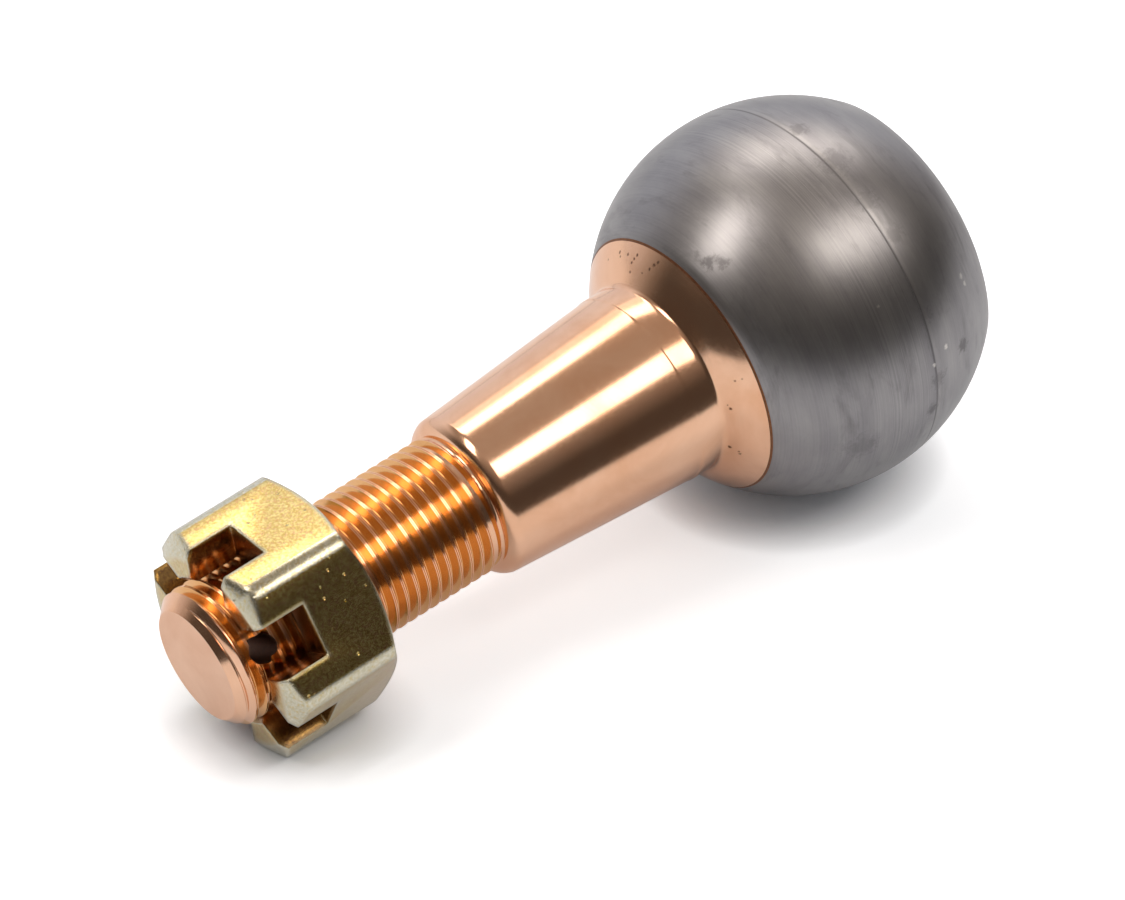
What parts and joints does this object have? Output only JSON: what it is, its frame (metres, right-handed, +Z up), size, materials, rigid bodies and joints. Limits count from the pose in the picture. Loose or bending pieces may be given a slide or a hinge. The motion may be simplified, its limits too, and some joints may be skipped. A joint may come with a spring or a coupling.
{
  "type": "threaded ball stud",
  "caption": "Ball joint stud with a bare steel ball on a copper-plated land, taper and threaded end, carrying a slotted hex nut that a cotter pin locks through a cross hole.",
  "frame": {"origin": "centre of the ball", "axes": "+Z up as the part lies on a floor on its ball and one flat of the nut; the threaded end points to -X and slopes down"},
  "size_m": [0.0973, 0.0434, 0.0434],
  "materials": {
    "stud_steel": "fine-turned bare steel on the ball, bright copper plating from the ball's root to the threaded end",
    "nut_zinc": "steel with yellow chromated zinc plating"
  },
  "bodies": {
    "stud": {"ball_stud": "stud_steel"},
    "nut": {"castle_nut": "nut_zinc"}
  },
  "joints": [
    {"name": "nut_turn", "type": "hinge", "parent": "stud", "child": "nut", "pos_m": [-0.06975, 0, -0.00912], "axis": [-0.9916, 0, -0.1297], "continuous": true}
  ]
}
